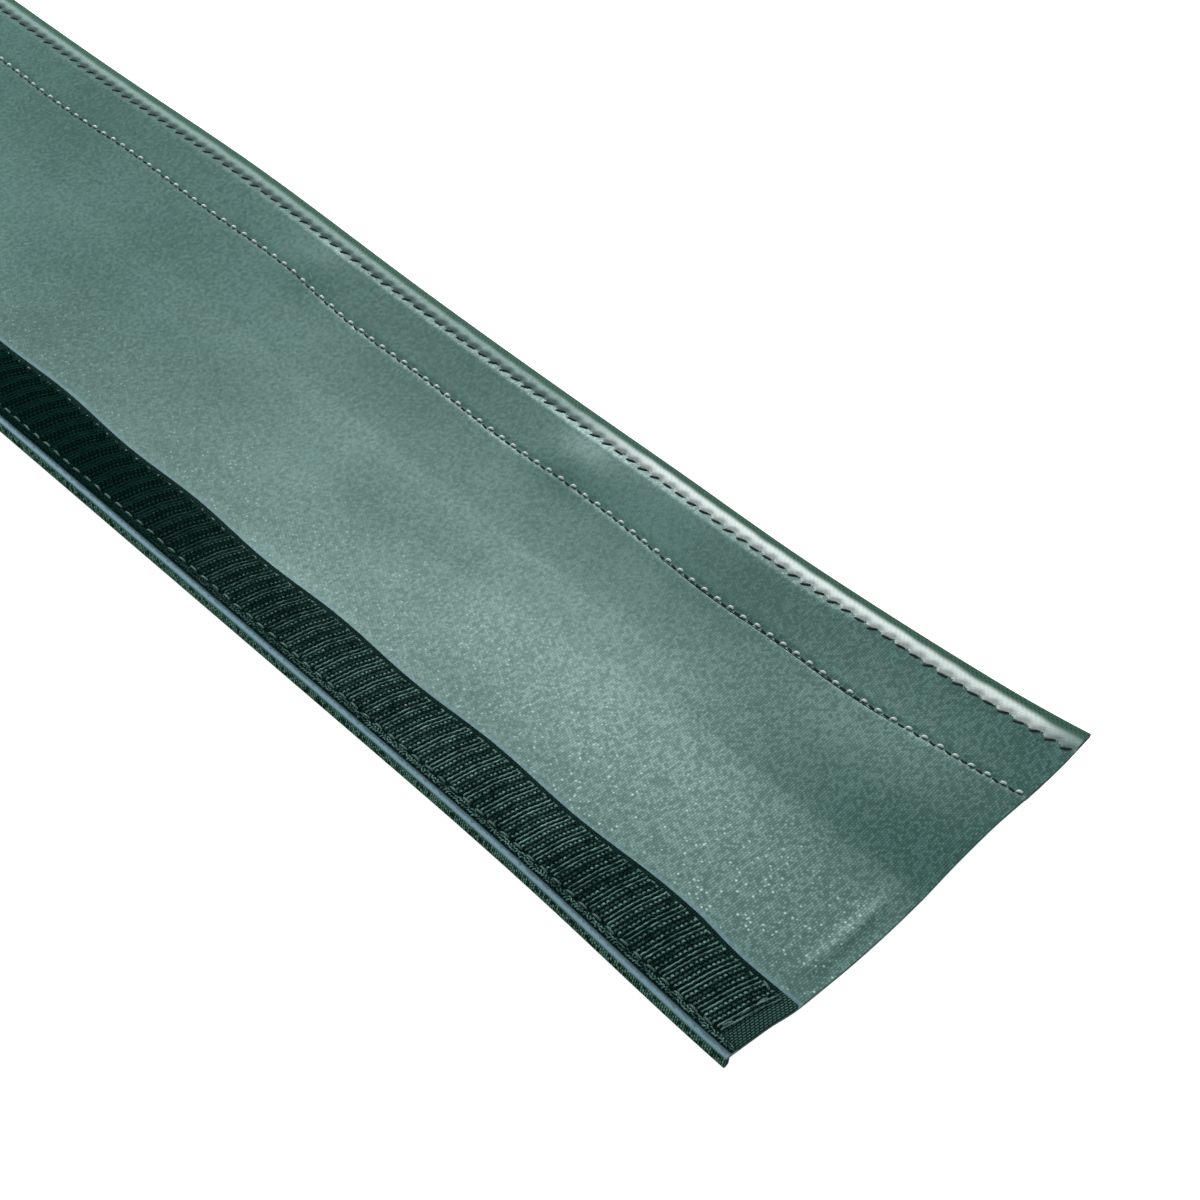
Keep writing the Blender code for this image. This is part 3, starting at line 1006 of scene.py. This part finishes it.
GROUP_COUNT = math.floor(2 * (END_X - BARE_END) / GROUP_STEP)
FIRST_ROW = END_X - BARE_END - (ROW_GROUP - 1) * ROW_PITCH
TAPE_ENDS = (-END_X + TAPE_INSET, END_X - TAPE_INSET)


def off_edges(c, start, end, width):
    """1 further than width from both edges of a tape, and 0 on them."""
    return ease(c, start, start + width) * ease(end - c, 0, width)


def flattened(x):
    """1 past the end seams, where the tape is pressed flat, and 0 between them."""
    return 1 - ease(END_X - abs(x), *FLAT_ALONG)


def flattened_mark(x, c):
    return flattened(x) * ease(c, *FLAT_MARK_ACROSS)


def on_tape(x, c, height=0.0):
    """The place on the cloth under the hook tape, skewed and waved as the tape is."""
    return on_sleeve(x, c + tape_wander(x, c), height)


def ground_place(x, c):
    edge = off_edges(c, HOOK_TAPE_FROM, HOOK_TAPE_TO, GROUND_EDGE)
    return on_tape(x, c, GROUND_LIFT + GROUND * (GROUND_EDGE_HEIGHT + (1 - GROUND_EDGE_HEIGHT) * edge))


hook_tape_ground = riding(
    "hook_tape_ground",
    cloth_strip(
        steps(*TAPE_ENDS, CLOTH_STEP),
        steps(HOOK_TAPE_FROM, HOOK_TAPE_TO, GROUND_STEP),
        ground_place,
        GROUND,
        [("flattened", flattened_mark)],
    ),
    TAPE_GROUND,
    "hook_side",
    "hook_tape",
)


def hooks_mesh():
    """One group of staggered rows of hooks, each a three-sided wire with a crook towards +Y or -Y."""
    bm = bmesh.new()
    for row in range(HOOK_ROWS):
        before = set(everything(bm))
        odd = row % 2
        at = Vector((FIRST_ROW + row * ROW_PITCH, HOOK_FROM + odd * HOOK_PITCH / 2, 0))
        towards = 1 - 2 * odd
        pivot = Matrix.Translation(at + Vector((0, towards * HOOK_CROOK, HOOK_STEM)))
        turn = Matrix.Rotation(HOOK_TURN / HOOK_BENDS, 4, Vector((-towards, 0, 0)))
        moves = [Matrix.Translation((0, 0, HOOK_STEM))] + [pivot @ turn @ pivot.inverted()] * HOOK_BENDS
        wire(bm, 3, HOOK_RADIUS, Matrix.Translation(at), moves)
        copies_along(bm, everything(bm, before), HOOK_COUNT - odd, (0, HOOK_PITCH, 0))
    return bm


def ribs_mesh():
    """The raised ribs between two groups of hook rows."""
    bm = bmesh.new()
    across_tape = Matrix.Rotation(math.radians(-90), 4, "X")
    for row in range(HOOK_ROWS, ROW_GROUP):
        start = Matrix.Translation((FIRST_ROW + row * ROW_PITCH, HOOK_FROM, RIB_LEVEL)) @ across_tape
        wire(bm, 5, RIB_RADIUS, start, [Matrix.Translation((0, RIB_LENGTH / RIB_STEPS, 0))] * RIB_STEPS)
    for vert in bm.verts:
        vert.co.z += RIB_WAVE * math.sin(2 * math.pi * vert.co.y / HOOK_PITCH)
    return bm


def rows_on_tape(name, bm):
    """A group of rows, with heights from the ground's face, repeated along the tape and laid on it."""
    copies_along(bm, everything(bm), GROUP_COUNT, (-GROUP_STEP, 0, 0))
    middle = (HOOK_FROM + HOOK_TO) / 2
    for vert in bm.verts:
        x, c, height = vert.co
        x += ROW_SKEW * (c - middle)
        shiver = lumps(x, c, SHIVER_SIZE, 0.5)
        x += SHIVER * shiver
        c += SHIVER * lumps(x, c, SHIVER_SIZE, 9.5)
        height *= (1 - (1 - FLAT_HEIGHT) * flattened(x)) * (1 + SHIVER_HEIGHT * shiver)
        ragged = 0.5 + 0.5 * drift(x, 0.9 * MM, 3.3)
        c -= ROW_END_RAGGED * ragged * ease(c, HOOK_TO - ROW_END_LENGTH, HOOK_TO)
        vert.co = on_tape(min(x, DETAIL_END), c, GROUND + DETAIL_LIFT + height)
    bmesh.ops.recalc_face_normals(bm, faces=bm.faces)
    return riding(name, bm, HOOK_WIRE, "hook_side")


hook_tape_hooks = rows_on_tape("hook_tape_hooks", hooks_mesh())
hook_tape_ribs = rows_on_tape("hook_tape_ribs", ribs_mesh())


# The loop tape under the loop flap: a soft pile of brushed loops, facing the table.
LOOP_TAPE = 0.75 * MM
PILE = 0.2 * MM
PILE_SIZE = 0.9 * MM
PILE_STEP = 0.6 * MM
PILE_EDGE = 0.8 * MM
PILE_EDGE_RISE = 0.35 * MM
PILE_THICKNESS = 0.7 * MM


def loop_tape_under(x, c):
    """The pile's lower face, with the loops as small soft lumps."""
    edge = off_edges(c, LOOP_TAPE_FROM, LOOP_TAPE_TO, PILE_EDGE)
    height = PILE - CLOTH - LOOP_TAPE + (1 - edge) * PILE_EDGE_RISE
    height -= PILE * (0.3 + 0.7 * lumps(x, c, PILE_SIZE, 4.4)) * edge
    stray = (seam_line(x) - LOOP_SEAM) * ease(LOOP_TAPE_TO - c, 0, LOOP_TAPE_TO - LOOP_TAPE_FROM)
    place = on_sleeve(x, c, height)
    place.y = across(x, c + stray)
    return place


def pile_mesh():
    rows = steps(LOOP_TAPE_FROM, LOOP_TAPE_TO, PILE_STEP)
    bm = cloth_strip(steps(*TAPE_ENDS, GRID_ALONG), rows, loop_tape_under, -PILE_THICKNESS)
    bmesh.ops.recalc_face_normals(bm, faces=bm.faces)
    return bm


loop_tape_pile = riding("loop_tape_pile", pile_mesh(), LOOP_PILE, "loop_side", "loop_tape")


# Stitches. One stitch is a short arched thread whose ends go down into the cloth.
STITCH_STEPS = 6
STITCH_THINNING = 0.35
HEM_LAYER = 0.75 * MM
INNER_ROW_SINK = 0.5 * MM
RING_CORNER = 3 * MM
RING_PHASE = 0.3
RING_TILT = 0.12
SELVEDGE_PITCH = 0.8 * MM
SELVEDGE_STRETCH = 50 * MM
SELVEDGE_TILT = 0.9
# Length, radius and arch of each kind of stitch.
KNOT = (1.3 * MM, 0.31 * MM, 0.18 * MM)
RUN = (1.6 * MM, 0.28 * MM, 0.06 * MM)
HEM_RUN = (2.4 * MM, 0.26 * MM, 0.05 * MM)
UNDER_STITCH = (3.2 * MM, 0.26 * MM, 0.08 * MM)
RING_STITCH = (2.3 * MM, 0.30 * MM, 0.24 * MM)
UNDER_RING_STITCH = (3.1 * MM, 0.24 * MM, 0.14 * MM)
LOOSE_END = (0.95 * MM, 0.16 * MM, 0.25 * MM)


def straight_row(c, height, phase, turn, wobble, seed, pitch=STITCH_PITCH, tilt=0.1):
    """Places of a row of stitches along the sleeve."""
    chance = random.Random(seed)
    places = []
    for i in range(math.floor(2 * END_X / pitch)):
        x = END_X - (i + phase) * pitch
        shift = wobble * chance.uniform(-1, 1)
        angle = turn + tilt * chance.uniform(-1, 1)
        places.append(Matrix.Translation((x, c + shift, height)) @ Matrix.Rotation(angle, 4, "Z"))
    return places


def ring_places(height, wobble, seed, sink):
    """Stitches round the hook tape: two long rows, joined across both ends round corners.
    The inner one is lower by sink."""
    chance = random.Random(seed)
    long_side = 2 * (HOOK_SEAM_END - RING_CORNER)
    short_side = HOOK_SEAM_INNER - TAPE_SEAM - 2 * RING_CORNER
    quarter = RING_CORNER * math.pi / 2
    half_way = long_side + short_side + 2 * quarter
    middle = Vector((0, (HOOK_SEAM_INNER + TAPE_SEAM) / 2))
    count = round(2 * half_way / STITCH_PITCH)
    places = []
    for i in range(count):
        half, way = divmod((i + RING_PHASE) * 2 * half_way / count, half_way)
        past_side = max(way - long_side, 0)
        past_end = max(way - long_side - quarter - short_side, 0)
        heading = (min(past_side, quarter) + past_end) / RING_CORNER
        over = min(max(past_side - quarter, 0), short_side)
        local = Vector((min(way, long_side) - long_side / 2, over - short_side / 2))
        local += RING_CORNER * Vector((math.sin(heading), -math.cos(heading)))
        at = middle + (1 - 2 * half) * local
        shift = wobble * chance.uniform(-1, 1)
        angle = heading + half * math.pi + RING_TILT * chance.uniform(-1, 1)
        move = Matrix.Translation((at.x, at.y + shift, height - half * sink))
        places.append(move @ Matrix.Rotation(angle, 4, "Z"))
    return places


def stitches(places, length, radius, arch):
    """A stitch at each place, which is a matrix on the flat cloth with the height over its face as Z."""
    bm = bmesh.new()
    start = Matrix.Translation((-length / 2, 0, 0)) @ Matrix.Rotation(math.radians(90), 4, "Y")
    wire(bm, 6, radius, start, [Matrix.Translation((length / STITCH_STEPS, 0, 0))] * STITCH_STEPS)
    for vert in bm.verts:
        share = 2 * vert.co.x / length
        thin = 1 - STITCH_THINNING * share ** 4
        vert.co = Vector((vert.co.x, vert.co.y * thin, vert.co.z * thin + arch * (1 - share * share)))
    source = everything(bm)
    for matrix in places:
        copy = bmesh.ops.duplicate(bm, geom=source)["geom"]
        verts = [item for item in copy if isinstance(item, bmesh.types.BMVert)]
        bmesh.ops.transform(bm, matrix=matrix, verts=verts)
    bmesh.ops.delete(bm, geom=source, context="VERTS")
    return bm


def sew(name, bm, place, look, body, *nodes):
    """Stitches, laid where place(x, c, height) says and no further along than the sleeve's end."""
    for vert in bm.verts:
        x, c, height = vert.co
        vert.co = place(min(x, END_X), c, height)
    bmesh.ops.recalc_face_normals(bm, faces=bm.faces)
    return riding(name, bm, look, body, *nodes)


def under_sleeve(x, c, height):
    """Below the cloth or the tape that the seam goes through, with heights counted downwards."""
    depth = CLOTH + HEM_LAYER * ease(HOOK_HEM_TO - c, -0.5 * MM, 0.5 * MM)
    if c > LOOP_LINE_3:
        depth = CLOTH + LOOP_TAPE
    return on_sleeve(x, c, -depth - height)


def beside_seam(x, c, height):
    """The place where c counts from the loop seam."""
    return on_sleeve(x, seam_line(x) + c, height)


def under_seam(x, c, height):
    return under_sleeve(x, seam_line(x) + c, height)


def on_tape_face(x, c, height):
    return on_tape(x, c, GROUND + height)


knots = straight_row(0.0, 0.1 * MM, 0.5, turn=math.radians(14), wobble=0.12 * MM, seed=3)
sew(
    "loop_seam_knots", stitches(knots, *KNOT), beside_seam,
    PALE_THREAD, "loop_side", "loop_seam_upper_thread",
)

runs = straight_row(-0.3 * MM, 0.02 * MM, 0.95, turn=math.radians(-6), wobble=0.08 * MM, seed=4)
sew("loop_seam_runs", stitches(runs, *RUN), beside_seam, DARK_THREAD, "loop_side")

hem_runs = straight_row(HEM_SEAM + 0.1 * MM, 0.0, 0.5, turn=0.3, wobble=0.12 * MM, seed=5, tilt=0.25)
sew(
    "hem_seam_runs", stitches(hem_runs, *HEM_RUN), on_sleeve,
    DARK_THREAD, "loop_side", "hem_seam_upper_thread",
)

for name, c, place, node in (
    ("loop_seam_under_stitches", 0.0, under_seam, "loop_seam_lower_thread"),
    ("hem_seam_under_stitches", HEM_SEAM + 0.85 * MM, under_sleeve, "hem_seam_lower_thread"),
):
    row = straight_row(c, -0.2 * MM, 0.5, turn=0.0, wobble=0.06 * MM, seed=6)
    sew(name, stitches(row, *UNDER_STITCH), place, DARK_THREAD, "loop_side", node)

ring = ring_places(0.16 * MM, wobble=0.10 * MM, seed=8, sink=INNER_ROW_SINK)
sew(
    "hook_seam_stitches", stitches(ring, *RING_STITCH), on_tape_face,
    GREEN_THREAD, "hook_side", "hook_seam_upper_thread",
)

under_ring = ring_places(0.0, wobble=0.06 * MM, seed=9, sink=0.0)
sew(
    "hook_seam_under_stitches", stitches(under_ring, *UNDER_RING_STITCH), under_sleeve,
    DARK_THREAD, "hook_side", "hook_seam_lower_thread",
)

# The tape's outer selvedge: short loose ends of its weft, at all angles.
loose_ends = [
    place
    for c, phase, turn, seed in ((0.55 * MM, 0.5, 0.3, 12), (1.1 * MM, 0.9, -0.4, 13))
    for place in straight_row(
        HOOK_TAPE_FROM + c, 0.1 * MM, phase, turn, 0.2 * MM, seed, SELVEDGE_PITCH, SELVEDGE_TILT
    )
    if place.translation.x > END_X - SELVEDGE_STRETCH
]
selvedge = stitches(loose_ends, *LOOSE_END)
repeats = round(2 * END_X / SELVEDGE_STRETCH)
copies_along(selvedge, everything(selvedge), repeats, (-SELVEDGE_STRETCH, 0, 0))
hook_tape_selvedge = sew("hook_tape_selvedge", selvedge, on_tape_face, HOOK_WIRE, "hook_side")


# The studio: pale floor, soft light and the camera.
FOCAL_PIXELS = 2625
IMAGE_PIXELS = 1200
SENSOR = 36
CAMERA_AZIMUTH = math.radians(136.22)
CAMERA_DOWN = math.radians(46.98)
CAMERA_DISTANCE = 0.574
CAMERA_TARGET = Vector((0.1473, 0.0122, 0))
WHITE = (1, 1, 1, 1)
WORLD_LIGHT = 0.30
FLOOR_COLOUR = (0.93, 0.93, 0.93, 1)
FLOOR_SIZE = 6.0
FLOOR_DROP = 0.05 * MM
FLOOR_GLOW = 0.90
# Each lamp's name, place, what it aims at, side and power.
LAMPS = (
    ("back_softbox", (-0.569, 0.667, 0.692), (0.13, -0.02, 0), 0.12, 8.5),
    ("top_softbox", (0.12, -0.10, 1.1), (0.15, 0, 0), 0.35, 1.5),
    ("left_card", (-0.36, 0.19, 0.37), (0, 0, 0), 0.2, 0.37),
)


def aim(thing, place, direction):
    thing.location = place
    thing.rotation_euler = direction.to_track_quat("-Z", "Y").to_euler()


def camera_ray(tree):
    return add(tree, "LightPath").outputs["Is Camera Ray"]


def make_camera():
    down = -math.tan(CAMERA_DOWN)
    forward = Vector((math.cos(CAMERA_AZIMUTH), math.sin(CAMERA_AZIMUTH), down)).normalized()
    data = bpy.data.cameras.new("camera")
    data.sensor_width = SENSOR
    data.lens = FOCAL_PIXELS / IMAGE_PIXELS * SENSOR
    data.clip_start = 0.01
    data.clip_end = 20
    camera = linked("camera", data)
    aim(camera, CAMERA_TARGET - forward * CAMERA_DISTANCE, forward)
    bpy.context.scene.camera = camera


def make_floor():
    """A white floor that shows soft shadow, and stays white away from the sleeve."""
    material, tree, shader = start_material("floor", FLOOR_COLOUR)
    fill(tree, shader, {"Base Color": FLOOR_COLOUR, "Roughness": 0.9, "Specular IOR Level": 0.0})
    glow = add(tree, "Emission")
    put(tree, glow.inputs["Strength"], times(tree, camera_ray(tree), FLOOR_GLOW))
    both = add(tree, "AddShader")
    put(tree, both.inputs[0], shader.outputs[0])
    put(tree, both.inputs[1], glow.outputs[0])
    put(tree, tree.nodes["Material Output"].inputs["Surface"], both.outputs[0])
    bm = bmesh.new()
    at = Matrix.Translation((0, 0, -FLOOR_DROP))
    bmesh.ops.create_grid(bm, x_segments=1, y_segments=1, size=FLOOR_SIZE / 2, matrix=at)
    from_bmesh("floor", bm, material)


def make_lamp(name, place, target, side, power):
    data = bpy.data.lights.new(name, "AREA")
    data.size = side
    data.energy = power
    aim(linked(name, data), place, Vector(target) - Vector(place))


def make_world():
    """A dim white world that the camera sees as plain white."""
    world = bpy.data.worlds.new("studio")
    world.use_nodes = True
    tree = world.node_tree
    dim = tree.nodes["Background"]
    fill(tree, dim, {"Color": WHITE, "Strength": WORLD_LIGHT})
    mix = add(tree, "MixShader")
    put(tree, mix.inputs[0], camera_ray(tree))
    put(tree, mix.inputs[1], dim.outputs[0])
    put(tree, mix.inputs[2], add(tree, "Background").outputs[0])
    put(tree, tree.nodes["World Output"].inputs["Surface"], mix.outputs[0])
    bpy.context.scene.world = world


make_camera()
make_floor()
make_world()
for lamp in LAMPS:
    make_lamp(*lamp)
bpy.context.scene.view_settings.view_transform = "Standard"
